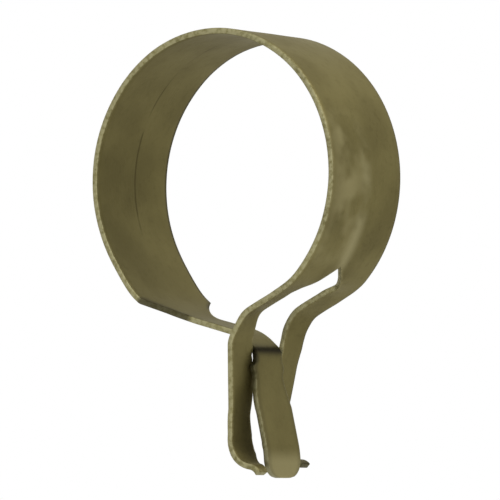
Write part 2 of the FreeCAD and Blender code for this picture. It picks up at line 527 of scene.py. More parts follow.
@dataclass
class Station:
    """One place along the strip: its widths, how much of each bend it has, and its painted shade and
    rubbed metal.

    Attributes:
        along: Distance from the jaw's tip, in millimetres.
        x: Its place to the right of the ring's axis.
        z: Its height above the axis.
        slot: Half the width of the slot.
        edge: Half the width of the outline.
        widened: Share of the neck's extra width.
        bow: How far the near prong's slot edge bows in.
        twist: Share of the near prong's twist.
        lean: Share of the near prong's lean.
        far_knee: Share of the set-out of the far leg's knee.
        near_knee: Share of the set-out of the near leg's knee.
        far_crown: Share of the rise of the far leg's ramp.
        near_crown: Share of the rise of the near leg's ramp.
        curl: Share of the near curl's tuck.
        tip: Share of the bends of the prongs' tips.
        sag: Share of the shoulder's sag.
        bend_shade: Share of the painted shade in the sharp bend.
        hollow_shade: Share of the painted shade in the near shoulder.
        hang: 1 on the tongue below its sharp bend, and 0 above.
        neck_shade: Share of the painted shade at the neck's near edge.
        lip: Share of the rubbed metal at the jaw's lip.
    """

    along: float
    x: float
    z: float
    slot: float = 0.0
    edge: float = 0.0
    widened: float = 0.0
    bow: float = 0.0
    twist: float = 0.0
    lean: float = 0.0
    far_knee: float = 0.0
    near_knee: float = 0.0
    far_crown: float = 0.0
    near_crown: float = 0.0
    curl: float = 0.0
    tip: float = 0.0
    sag: float = 0.0
    bend_shade: float = 0.0
    hollow_shade: float = 0.0
    hang: float = 0.0
    neck_shade: float = 0.0
    lip: float = 0.0


@dataclass(frozen=True)
class HandBends:
    """The small unevennesses of the folded strip, in millimetres.

    A rise or a fade is where a bend sets in or dies away. It is given as a drop below the bore, but
    for the bow's start and the crowns it is a distance past the slot's top.

    Attributes:
        upper_bow: How far the near prong bows towards the tongue at the crossing.
        lower_bow: How much further it bows below the tongue's sharp bend.
        twist: How far the near prong's slot edge turns in behind the tongue.
        neck_extra: The neck's extra width on its near side.
        far_knee: How far the far leg's knee is set out to the right.
        near_knee: How far the near leg's knee is set out to the right.
        lean: How far the near prong leans to the right at its curl.
        curl_tuck: The near curl's shift, along x and along z.
        ramp_rise: How far the legs' ramps are raised.
        slot_edge_rise: How much more they are raised along the slot.
        near_tip: The shift of the near prong's tip.
        far_tip: The shift of the far prong's tip.
        shoulder_sag: How far the strip sags at the shoulder.
        sag_reach: How far along the strip the sag goes.
    """

    upper_bow: float = 0.52
    upper_bow_rise: Span = (-0.5, 2.2)
    lower_bow: float = 0.13
    lower_bow_rise: Span = (3.35, 4.0)
    bow_start: Span = (3.0, 6.0)
    bow_fade: Span = (7.2, 11.0)
    twist: float = 0.18
    twist_rise: Span = (2.8, 3.7)
    twist_fade: Span = (9.0, 11.0)
    neck_extra: float = 0.3
    neck_rise: Span = (3.9, 4.7)
    neck_fade: Span = (7.5, 9.5)
    far_knee: float = 0.5
    near_knee: float = 0.28
    knee_rise: Span = (-1.6, 0.6)
    far_knee_fade: Span = (1.3, 4.6)
    near_knee_fade: Span = (0.5, 2.3)
    lean: float = 0.5
    lean_rise: Span = (9.3, 14.0)
    curl_tuck: float = -0.24
    ramp_rise: float = 0.25
    slot_edge_rise: float = 0.45
    crown_rise: Span = (1.5, 5.0)
    far_crown_fade: Span = (10.0, 15.0)
    near_crown_fade: Span = (8.5, 12.8)
    near_tip: Shift = (0.05, 0.15, -0.4)
    far_tip: Shift = (0.1, 0.0, 0.4)
    shoulder_sag: float = 0.5
    sag_reach: float = 3.0


@dataclass(frozen=True)
class ShadeAndWear:
    """Where shade is painted and metal is rubbed; places are in millimetres along the strip.

    Attributes:
        bend_reach: How far the painted shade spreads from the middle of the sharp bend.
        rim: The part of a half's width, from slot to edge, over which the painted shade on the edges
            sets in.
        edge: Painted shade along the hanging tongue's edges.
        hang_fade: Where that ends, past the middle of the sharp bend.
        neck: Further painted shade on the near edge, just below the bend.
        neck_reach: How far down it spreads.
        hollow: Painted shade in the near shoulder.
        hollow_rise: Where it sets in, past the shoulder.
        hollow_fade: Where it ends, past the shoulder.
        far_tip: Painted shade on the far prong's tip.
        lip_fade: Where the jaw's rubbed lip ends.
    """

    bend_reach: float = 0.55
    rim: Span = (0.7, 1.0)
    edge: float = 0.35
    hang_fade: Span = (0.0, 0.6)
    neck: float = 0.6
    neck_reach: float = 2.6
    hollow: float = 0.75
    hollow_rise: Span = (-4.2, -3.6)
    hollow_fade: Span = (0.0, 0.3)
    far_tip: float = 0.7
    lip_fade: Span = (1.4, 3.2)


@dataclass
class BlankPoints:
    """The points of the flat strip, with what is stored on each."""

    verts: list[Vector] = field(default_factory=list)
    lifts: list[float] = field(default_factory=list)
    springs: list[float] = field(default_factory=list)
    shades: list[float] = field(default_factory=list)
    rubs: list[float] = field(default_factory=list)


@dataclass
class StripBlank:
    """The flat strip before it is folded, with its outline, slot and lugs cut.

    Attributes:
        sizes: Sizes of the strip.
        path: The line that it is folded along.
        bends: Its small unevennesses.
        shade_and_wear: Its painted shade and rubbed metal.
        columns: Faces across each half.
        slot_steps: Steps along the slot's point and along the jaw's corners.
        end_steps: Steps across each end, when the distance from the cut edges is measured.
        least_pitch: Least distance between stations.
        end_pitch: The same at the ends, where the rounded edges need room.
        end_reach: How far that goes at the prongs' tips.
        slot_round: How far the slot's point blends into its sides.
        edge_inset: How far the outline stays inside its size.
        stations: The stations, once they are measured.
    """

    sizes: StripSizes
    path: FoldPath
    bends: HandBends = HandBends()
    shade_and_wear: ShadeAndWear = ShadeAndWear()
    columns: int = 8
    slot_steps: int = 14
    end_steps: int = 40
    least_pitch: float = 0.004
    end_pitch: float = 0.13
    end_reach: float = 1.2
    slot_round: float = 0.35
    edge_inset: float = 0.01
    stations: list[Station] = field(default_factory=list)

    def _tongue_edge(self, along: float, x: float, z: float) -> float:
        """Half the width of the tongue.

        Args:
            along: Distance from the jaw's tip.
            x: The place's x.
            z: The place's z.

        Returns:
            Half the width there.
        """
        sizes = self.sizes
        half, neck, jaw = sizes.band_width / 2, sizes.neck_width / 2, sizes.jaw_width / 2
        radius = half - neck
        shoulder_x = sizes.bore_radius * math.cos(math.radians(sizes.shoulder_angle))
        centre = shoulder_x + sizes.shoulder_land + radius
        start, end = sizes.level(sizes.flare_start_drop), sizes.level(sizes.flare_end_drop)
        if z > start:
            if x < centre - radius:
                return half
            if x < centre:
                return half - radius * (1.0 - ((centre - x) / radius) ** 2)
            offset = z - sizes.level(sizes.lug_drop)
            bulge = math.sqrt(max(0.0, sizes.lug_radius ** 2 - offset * offset))
            return max(neck, neck + sizes.lug_height - sizes.lug_radius + bulge)
        edge = neck + (jaw - neck) * clamp((start - z) / (start - end))
        if along < sizes.jaw_corner:
            rise = sizes.jaw_corner - along
            edge += math.sqrt(max(0.0, sizes.jaw_corner ** 2 - rise * rise)) - sizes.jaw_corner
        return edge

    def _fork_edge(self, z: float) -> float:
        """Half the width across both prongs.

        Args:
            z: The place's z.

        Returns:
            Half the width there.
        """
        sizes = self.sizes
        start, end = sizes.level(sizes.taper_start_drop), sizes.level(sizes.taper_end_drop)
        return sizes.band_width / 2 - sizes.prong_taper * clamp((start - z) / (start - end))

    def _slot_half(self, past: float, x: float, z: float) -> float:
        """Half the width of the slot: pointed, narrower between the prongs, wide at their tips.

        Args:
            past: Distance past the slot's top.
            x: The place's x.
            z: The place's z.

        Returns:
            Half the width there.
        """
        sizes = self.sizes
        half, gap = sizes.slot_width / 2, sizes.prong_gap / 2
        start, end = sizes.level(sizes.gap_start_drop), sizes.level(sizes.gap_end_drop)
        sides = half + (gap - half) * clamp((start - z) / (start - end))
        if z < end:
            cut = sizes.tip_cut_end - sizes.tip_cut_start
            reach = (x + sizes.thickness / 2 - sizes.tip_cut_start) / cut
            sides += (sizes.tip_gap / 2 - gap) * clamp(reach)
        blend = max(0.0, 1.0 - abs(past - sides) / self.slot_round)
        return max(0.0, min(past, sides) - blend * blend * self.slot_round / 4)

    def _slot_top(self) -> float:
        """Distance along the strip of the slot's pointed top.

        Returns:
            The distance from the jaw's tip.
        """
        sizes = self.sizes
        past = math.radians(sizes.leave_angle - sizes.slot_centre_angle) * sizes.bore_radius
        return self.path.leave_at + past - sizes.slot_width / 2

    def _bend_middle(self) -> float:
        """Distance along the strip of the middle of the tongue's sharp bend."""
        sizes = self.sizes
        return sum(step.reach() for step in sizes.jaw) + sizes.tongue_after[-1].reach() / 2

    def measure(self) -> "StripBlank":
        """Works out every station of the strip.

        Returns:
            The blank itself.
        """
        half_slot = self.sizes.slot_width / 2
        corner = self.sizes.jaw_corner
        top = self._slot_top()
        whole = self.path.lengths[-1]
        places = set(self.path.lengths)
        for step in range(self.slot_steps + 1):
            turn = math.pi / 2 * step / self.slot_steps
            places.add(top + half_slot * step / self.slot_steps)
            places.add(corner * (1.0 - math.cos(turn)))
        kept: list[float] = []
        for along in sorted(places):
            at_end = along < corner or along > whole - self.end_reach
            pitch = self.end_pitch if at_end else self.least_pitch
            if not kept or along - kept[-1] > pitch and whole - along > pitch:
                kept.append(along)
        kept.append(whole)
        self.stations = [self._station(along, top) for along in kept]
        return self

    def _station(self, along: float, top: float) -> Station:
        """The strip at one place.

        Args:
            along: Distance from the jaw's tip.
            top: Distance of the slot's top.

        Returns:
            The station.
        """
        x, z = self.path.at(along)
        station = Station(along, x, z)
        drop = self.sizes.level(0.0) - z
        if along < self.path.shoulder_at:
            station.edge = self._tongue_edge(along, x, z)
            station.widened = window(drop, self.bends.neck_rise, self.bends.neck_fade)
        elif along < self.path.leave_at:
            station.edge = self.sizes.band_width / 2
        else:
            station.edge = self._fork_edge(z)
        if along > top:
            station.slot = self._slot_half(along - top, x, z)
            self._bend_fork(station, along - top, drop)
        self._bend_ends(station)
        self._note_shade_and_wear(station)
        return station

    def _bend_fork(self, station: Station, past: float, drop: float) -> None:
        """Notes the unevennesses of the two legs and prongs.

        Args:
            station: The station to fill in.
            past: Its distance past the slot's top.
            drop: Its drop below the bore.
        """
        bends = self.bends
        bow = bends.upper_bow * smooth(drop, *bends.upper_bow_rise)
        bow += bends.lower_bow * smooth(drop, *bends.lower_bow_rise)
        station.bow = bow * (1.0 - smooth(drop, *bends.bow_fade)) * smooth(past, *bends.bow_start)
        station.twist = window(drop, bends.twist_rise, bends.twist_fade)
        station.lean = smooth(drop, *bends.lean_rise)
        station.far_knee = window(drop, bends.knee_rise, bends.far_knee_fade)
        station.near_knee = window(drop, bends.knee_rise, bends.near_knee_fade)
        station.far_crown = window(past, bends.crown_rise, bends.far_crown_fade)
        station.near_crown = window(past, bends.crown_rise, bends.near_crown_fade)

    def _bend_ends(self, station: Station) -> None:
        """Notes the unevennesses of the prongs' tips, the near curl and the shoulder.

        Args:
            station: The station to fill in.
        """
        curl = self.sizes.curl.reach()
        left = self.path.lengths[-1] - station.along
        station.tip = max(0.0, 1.0 - left / curl) ** 2
        turned = clamp(1.0 - (left - self.sizes.prong_tip.reach()) / curl)
        station.curl = math.sin(math.pi * turned)
        station.sag = bell(station.along - self.path.shoulder_at, self.bends.sag_reach)

    def _note_shade_and_wear(self, station: Station) -> None:
        """Notes the painted shade and the rubbed metal.

        Args:
            station: The station to fill in.
        """
        shade_and_wear = self.shade_and_wear
        past_bend = station.along - self._bend_middle()
        past_shoulder = station.along - self.path.shoulder_at
        station.bend_shade = bell(past_bend, shade_and_wear.bend_reach)
        station.hollow_shade = window(past_shoulder, shade_and_wear.hollow_rise, shade_and_wear.hollow_fade)
        station.hang = 1.0 - smooth(past_bend, *shade_and_wear.hang_fade)
        station.neck_shade = station.hang * bell(past_bend, shade_and_wear.neck_reach)
        station.lip = 1.0 - smooth(station.along, *shade_and_wear.lip_fade)

    def _outer_edge(self, station: Station, half: Half) -> float:
        """How far the outline lies from the middle; the neck is wider on its near side."""
        extra = station.widened * self.bends.neck_extra if half is Half.NEAR else 0.0
        return station.edge + extra

    def _slot_edge(self, station: Station, half: Half) -> float:
        """How far the slot's edge lies from the middle; the near prong bows in."""
        return station.slot - station.bow if half is Half.NEAR else station.slot

    def _lift(self, station: Station, part: float, half: Half) -> float:
        """How far a point is bent off the path.

        Args:
            station: Its place along the strip.
            part: Its place across, from 0 at the slot to 1 at the edge.
            half: Its half of the strip.

        Returns:
            The lift, outwards from the ring, in millimetres.
        """
        bends = self.bends
        rise = bends.ramp_rise + bends.slot_edge_rise * (1.0 - part)
        lift = station.sag * bends.shoulder_sag
        if half is Half.FAR:
            return lift - station.far_crown * rise
        return lift - station.near_crown * rise - station.twist * bends.twist * (1.0 - part)

    def _spring(self, station: Station, half: Half) -> Vector:
        """How far a place on a knee, a curl or a tip is bent aside.

        Args:
            station: Its place along the strip.
            half: Its half of the strip.

        Returns:
            The shift in millimetres.
        """
        bends = self.bends
        if half is Half.FAR:
            sprung = Vector(bends.far_tip) * station.tip
            sprung.x += bends.far_knee * station.far_knee
            return sprung
        sprung = Vector(bends.near_tip) * station.tip
        sprung += Vector((bends.curl_tuck, 0.0, bends.curl_tuck)) * station.curl
        sprung.x += bends.lean * station.lean + bends.near_knee * station.near_knee
        return sprung

    def _painted_shade(self, station: Station, part: float, half: Half) -> float:
        """How much painted shade a point holds.

        Args:
            station: Its place along the strip.
            part: Its place across, from 0 at the slot to 1 at the edge.
            half: Its half of the strip.

        Returns:
            The share of painted shade, from 0 to 1.
        """
        shade_and_wear = self.shade_and_wear
        rim = smooth(part, *shade_and_wear.rim)
        edge = station.hang * rim * shade_and_wear.edge
        if half is Half.FAR:
            return min(1.0, max(station.bend_shade, edge, station.tip * shade_and_wear.far_tip))
        edge += station.neck_shade * rim * shade_and_wear.neck
        return min(1.0, max(station.bend_shade, edge, station.hollow_shade * rim * shade_and_wear.hollow))

    def _half(self, half: Half, points: BlankPoints) -> list[list[int]]:
        """Lays out one half of the blank.

        Args:
            half: Which half.
            points: The points to add to.

        Returns:
            Rows of point numbers, from the middle or the slot to the edge.
        """
        rows = []
        for station in self.stations:
            row = []
            slot = self._slot_edge(station, half)
            edge = self._outer_edge(station, half) - self.edge_inset
            for column in range(self.columns + 1):
                part = column / self.columns
                across = slot + (edge - slot) * part
                row.append(len(points.verts))
                points.verts.append(Vector((station.along * MM, half.value * across * MM, 0.0)))
                points.lifts.append(self._lift(station, part, half))
                points.springs.extend(self._spring(station, half))
                points.shades.append(self._painted_shade(station, part, half))
                points.rubs.append(station.lip)
            rows.append(row)
        return rows

    def as_mesh(self, name: str) -> bpy.types.Object:
        """The blank as a flat mesh with its length along x, in metres.

        Args:
            name: Name of the mesh.

        Returns:
            The mesh's object. It has the attributes lift, spring, grime, rub and rim_gap, and a UV map
            along the strip. grime holds the share of painted shade.
        """
        points = BlankPoints()
        faces: list[tuple[int, ...]] = []
        for half in Half:
            rows = self._half(half, points)
            for lower, upper in zip(rows, rows[1:]):
                for a, b, c, d in zip(lower, upper, upper[1:], lower[1:]):
                    faces.append((a, b, c, d) if half is Half.FAR else (a, d, c, b))
        mesh = bpy.data.meshes.new(name)
        mesh.from_pydata(points.verts, [], faces)
        springs = mesh.attributes.new("spring", "FLOAT_VECTOR", "POINT")
        springs.data.foreach_set("vector", points.springs)
        stored = {"lift": points.lifts, "painted_shade": points.shades, "rub": points.rubs,
                  "rim_gap": self._rim_gaps(points.verts)}
        for label, values in stored.items():
            mesh.attributes.new(label, "FLOAT", "POINT").data.foreach_set("value", values)
        uv = mesh.uv_layers.new(name=STRIP_UV)
        for loop in mesh.loops:
            uv.data[loop.index].uv = mesh.vertices[loop.vertex_index].co.xy * UV_PER_METRE
        obj = bpy.data.objects.new(name, mesh)
        bpy.context.scene.collection.objects.link(obj)
        return obj

    def _rim_gaps(self, verts: list[Vector]) -> list[float]:
        """Measures how far points are from the nearest cut edge.

        Args:
            verts: The points, in metres.

        Returns:
            Their distances in millimetres.
        """
        cut: list[Vector] = []
        for station in self.stations:
            for half in Half:
                edges = [self._outer_edge(station, half)]
                if station.slot > 0.0:
                    edges.append(self._slot_edge(station, half))
                cut.extend(Vector((station.along, half.value * edge, 0.0)) for edge in edges)
        for station in (self.stations[0], self.stations[-1]):
            for step in range(self.end_steps + 1):
                across = station.slot + (station.edge - station.slot) * step / self.end_steps
                cut.extend(Vector((station.along, half.value * across, 0.0)) for half in Half)
        tree = KDTree(len(cut))
        for index, point in enumerate(cut):
            tree.insert(point, index)
        tree.balance()
        return [tree.find(vert / MM)[2] for vert in verts]


@dataclass
class FoldTree:
    """The node tree that folds the flat blank along its path.

    Attributes:
        name: Name of the tree.
        join: How near two points are when they become one, in millimetres.
        wave_scale: Scale of the faces' unevenness.
        wave_detail: Its detail.
        wave_level: The level of the noise at which a face is true.
    """

    name: str = "fold_strip"
    join: float = 0.002
    wave_scale: float = 130.0
    wave_detail: float = 1.0
    wave_level: float = 0.65

    def build(self) -> Tree:
        """Builds the tree.

        Returns:
            The tree, with its sizes as named inputs.
        """
        ins = {"Geometry": "Geometry", "Fold Path": "Object", "Lift Unit": "Float",
               "Waviness": "Float", "Seed": "Float", "Finish": "Material"}
        tree, start, end = new_group("GeometryNodeTree", self.name, ins, {"Geometry": "Geometry"})
        steps = (
            ("GeometryNodeSetPosition", {"Position": self._place(tree, start)}),
            ("GeometryNodeMergeByDistance", {"Distance": self.join * MM}),
            ("GeometryNodeRealizeInstances", {}),
            ("GeometryNodeSetMaterial", {"Material": start.outputs["Finish"]}),
        )
        shape = start.outputs["Geometry"]
        for kind, feeds in steps:
            shape = add_node(tree, kind, {"Geometry": shape, **feeds}).outputs["Geometry"]
        feed(tree, end.inputs["Geometry"], shape)
        return tree

    def _place(self, tree: Tree, start: Node) -> Socket:
        """Adds the folded place of each point.

        Args:
            tree: The tree to add to.
            start: The tree's input node.

        Returns:
            The place.
        """
        flat = add_node(tree, "GeometryNodeInputPosition", {}).outputs["Position"]
        split = add_node(tree, "ShaderNodeSeparateXYZ", {"Vector": flat})
        path = add_node(tree, "GeometryNodeObjectInfo", {"Object": start.outputs["Fold Path"]})
        feeds = {"Curves": path.outputs["Geometry"], "Length": split.outputs["X"]}
        sample = add_node(tree, "GeometryNodeSampleCurve", feeds, mode="LENGTH", use_all_curves=True)
        across = add_node(tree, "ShaderNodeCombineXYZ", {"Y": split.outputs["Y"]})
        spot = combine(tree, "ADD", sample.outputs["Position"], across.outputs["Vector"])
        outward = combine(tree, "CROSS_PRODUCT", sample.outputs["Tangent"], (0.0, 1.0, 0.0))
        outward = combine(tree, "NORMALIZE", outward)
        lift = stretch(tree, outward, self._lift(tree, start, flat))
        spring = stretch(tree, self._stored(tree, "spring", "FLOAT_VECTOR"), start.outputs["Lift Unit"])
        return combine(tree, "ADD", combine(tree, "ADD", spot, lift), spring)

    def _lift(self, tree: Tree, start: Node, flat: Socket) -> Socket:
        """Adds the lift off the path: the stored one, and the slight unevenness of the faces.

        Args:
            tree: The tree to add to.
            start: The tree's input node.
            flat: The flat place of a point.

        Returns:
            The lift, outwards from the ring, in metres.
        """
        stored = self._stored(tree, "lift", "FLOAT")
        raised = calculate(tree, "MULTIPLY", stored, start.outputs["Lift Unit"])
        feeds = {"Vector": flat, "W": start.outputs["Seed"],
                 "Scale": self.wave_scale, "Detail": self.wave_detail}
        noise = add_node(tree, "ShaderNodeTexNoise", feeds, noise_dimensions="4D")
        centred = calculate(tree, "SUBTRACT", noise.outputs["Fac"], self.wave_level)
        wave = calculate(tree, "MULTIPLY", centred, start.outputs["Waviness"])
        return calculate(tree, "ADD", wave, raised)

    @staticmethod
    def _stored(tree: Tree, name: str, kind: str) -> Socket:
        """Adds what is stored on each point under a name."""
        node = add_node(tree, "GeometryNodeInputNamedAttribute", {"Name": name}, data_type=kind)
        return node.outputs["Attribute"]


@dataclass(frozen=True)
class MarkAndSheen:
    """A long streak on the strip, in units of its UV map. The inner face has a dark line; the outer face
    a painted sheen and a painted reflection.

    Attributes:
        tone: Its colour.
        line: Where it lies across the strip.
        width: How far it reaches on both sides.
        start: Where it starts along the strip.
        end: Where it ends.
        amount: Its strength.
    """

    tone: Colour
    line: float
    width: float
    start: float
    end: float
    amount: float


@dataclass(frozen=True)
class BrassFinish:
    """An antique brass finish: its colours, roughness and streaks, with painted shade and painted sheen.

    Attributes:
        name: Name of the material.
        face: The plain face.
        dark: The face under tarnish.
        worn: Rubbed metal.
        painted_shade: The colour of the painted shade.
        edge_tint: The tint of the metal at grazing angles.
        marks_and_sheens: The long streaks, from the lowest to the topmost: a dark line on the inner
            face, and a painted sheen and a painted reflection on the outer face.
        metallic: How metallic the surface is.
        roughness: How rough it is.
        tarnish_roughness: How much rougher it is under tarnish.
        wear_width: How far the rubbed edges reach, in millimetres.
        wear_amount: How strong they are.
        tarnish_amount: How strong the tarnish is.
        bump: How strong the grain is.
        bump_depth: How deep the grain is, in millimetres.
        rub_amount: How strong the rubbed lip of the jaw is.
        far_shade_width: How far the painted shade along the back edge reaches, in millimetres.
        far_shade_amount: How strong it is.
    """

    name: str
    face: Colour
    dark: Colour
    worn: Colour
    painted_shade: Colour
    edge_tint: Colour
    marks_and_sheens: tuple[MarkAndSheen, ...] = ()
    metallic: float = 0.75
    roughness: float = 0.5
    tarnish_roughness: float = 0.15
    wear_width: float = 0.35
    wear_amount: float = 0.8
    tarnish_amount: float = 0.5
    bump: float = 0.25
    bump_depth: float = 0.05
    rub_amount: float = 0.7
    far_shade_width: float = 0.3
    far_shade_amount: float = 0.75


@dataclass(frozen=True)
class Speckle:
    """A noise pattern: its scale, its detail, and the span of it that becomes a mask."""

    scale: float
    detail: float
    span: Span = (0.0, 1.0)

    def height(self, tree: Tree, vector: Socket) -> Socket:
        """Adds the plain pattern, read at a vector."""
        feeds = {"Vector": vector, "Scale": self.scale, "Detail": self.detail}
        return add_node(tree, "ShaderNodeTexNoise", feeds).outputs["Fac"]

    def mask(self, tree: Tree, vector: Socket) -> Socket:
        """Adds the pattern as a mask from 0 to 1, read at a vector."""
        return ease(tree, self.height(tree, vector), *self.span)


@dataclass
class Effects:
    """Shader node groups that the brass finishes share.

    Attributes:
        clouds: The broad clouds of tarnish.
        specks: The small specks of tarnish.
        speck_share: How strong the specks are beside the clouds.
        chips: The dents that break up rubbed edges.
        lines: The lines of rolled strip.
        line_stretch: How they are drawn out along the strip.
        line_share: How strong they are beside the pits.
        pits: The small pits.
        patches: The stretches that break up a streak, dark or pale.
        streak_fade: How far a streak fades at its ends, in units of the UV map.
        back_span: Where the strip's back edge begins, in units of the UV map.
    """

    clouds: Speckle = Speckle(160.0, 5.0, (0.36, 0.66))
    specks: Speckle = Speckle(1500.0, 3.0, (0.5, 0.72))
    speck_share: float = 0.35
    chips: Speckle = Speckle(2200.0, 4.0, (0.3, 0.62))
    lines: Speckle = Speckle(5.0, 3.0)
    line_stretch: Shift = (6.0, 160.0, 1.0)
    line_share: float = 0.7
    pits: Speckle = Speckle(2600.0, 2.0)
    patches: Speckle = Speckle(260.0, 2.0, (0.35, 0.6))
    streak_fade: float = 0.03
    back_span: Span = (0.03, 0.04)

    def __post_init__(self) -> None:
        """Builds every group once."""
        self.tarnish = self._tarnish()
        self.wear = self._wear()
        self.grain = self._grain()
        self.mark_and_sheen = self._mark_and_sheen()
        self.far_edge_shade = self._far_edge_shade()

    @staticmethod
    def _group(name: str, vectors: tuple[str, ...], numbers: tuple[str, ...],
               out: str) -> tuple[Tree, Node, Node]:
        """Starts a group of shader nodes.

        Args:
            name: Name of the group.
            vectors: Names of its vector inputs.
            numbers: Names of its number inputs.
            out: Name of its output.

        Returns:
            The group, its input node and its output node.
        """
        ins = {label: "Vector" for label in vectors} | {label: "Float" for label in numbers}
        return new_group("ShaderNodeTree", name, ins, {out: "Float"})

    def _tarnish(self) -> Tree:
        """The cloudy tarnish of old brass, in broad clouds and small specks.

        Returns:
            The group.
        """
        group, start, end = self._group("tarnish", ("Vector",), ("Amount",), "Mask")
        broad = self.clouds.mask(group, start.outputs["Vector"])
        small = self.specks.mask(group, start.outputs["Vector"])
        both = calculate(group, "MULTIPLY_ADD", small, self.speck_share, broad)
        mask = calculate(group, "MULTIPLY", both, start.outputs["Amount"], use_clamp=True)
        feed(group, end.inputs["Mask"], mask)
        return group

    def _wear(self) -> Tree:
        """The rubbed metal along the strip's cut edges, broken up by dents.

        Returns:
            The group.
        """
        group, start, end = self._group("edge_wear", ("Vector",), ("Gap", "Width", "Amount"), "Mask")
        rough = self.chips.mask(group, start.outputs["Vector"])
        near = ease(group, start.outputs["Gap"], 0.0, start.outputs["Width"], falls=True)
        rubbed = calculate(group, "MULTIPLY", near, rough)
        mask = calculate(group, "MULTIPLY", rubbed, start.outputs["Amount"], use_clamp=True)
        feed(group, end.inputs["Mask"], mask)
        return group

    def _grain(self) -> Tree:
        """The fine lines of rolled strip, along its length, and small pits.

        Returns:
            The group.
        """
        group, start, end = self._group("rolled_grain", ("Strip", "Vector"), (), "Height")
        feeds = {"Vector": start.outputs["Strip"], "Scale": self.line_stretch}
        drawn = add_node(group, "ShaderNodeMapping", feeds)
        lines = self.lines.height(group, drawn.outputs["Vector"])
        pits = self.pits.height(group, start.outputs["Vector"])
        feed(group, end.inputs["Height"], calculate(group, "MULTIPLY_ADD", lines, self.line_share, pits))
        return group

    def _mark_and_sheen(self) -> Tree:
        """A dark or pale streak along the strip, in broken stretches, that fades at its ends. It draws
        the inner face's dark line and the outer face's painted sheen and painted reflection.

        Returns:
            The group.
        """
        numbers = ("Line", "Width", "Start", "End", "Amount")
        group, start, end = self._group("mark_and_sheen", ("Strip", "Vector"), numbers, "Mask")
        split = add_node(group, "ShaderNodeSeparateXYZ", {"Vector": start.outputs["Strip"]})
        aside = calculate(group, "SUBTRACT", split.outputs["Y"], start.outputs["Line"])
        off = calculate(group, "ABSOLUTE", aside)
        mask = ease(group, off, 0.0, start.outputs["Width"], falls=True)
        for label, fade in (("Start", self.streak_fade), ("End", -self.streak_fade)):
            full = calculate(group, "ADD", start.outputs[label], fade)
            within = ease(group, split.outputs["X"], start.outputs[label], full)
            mask = calculate(group, "MULTIPLY", mask, within)
        mask = calculate(group, "MULTIPLY", mask, self.patches.mask(group, start.outputs["Vector"]))
        feed(group, end.inputs["Mask"], calculate(group, "MULTIPLY", mask, start.outputs["Amount"]))
        return group

    def _far_edge_shade(self) -> Tree:
        """Painted shade along the strip's back edge, the side turned away from the camera.

        Returns:
            The group.
        """
        group, start, end = self._group("far_edge_shade", ("Strip",), ("Gap", "Width", "Amount"), "Mask")
        split = add_node(group, "ShaderNodeSeparateXYZ", {"Vector": start.outputs["Strip"]})
        behind = ease(group, split.outputs["Y"], *self.back_span)
        near = ease(group, start.outputs["Gap"], 0.0, start.outputs["Width"], falls=True)
        mask = calculate(group, "MULTIPLY", behind, near)
        feed(group, end.inputs["Mask"], calculate(group, "MULTIPLY", mask, start.outputs["Amount"]))
        return group


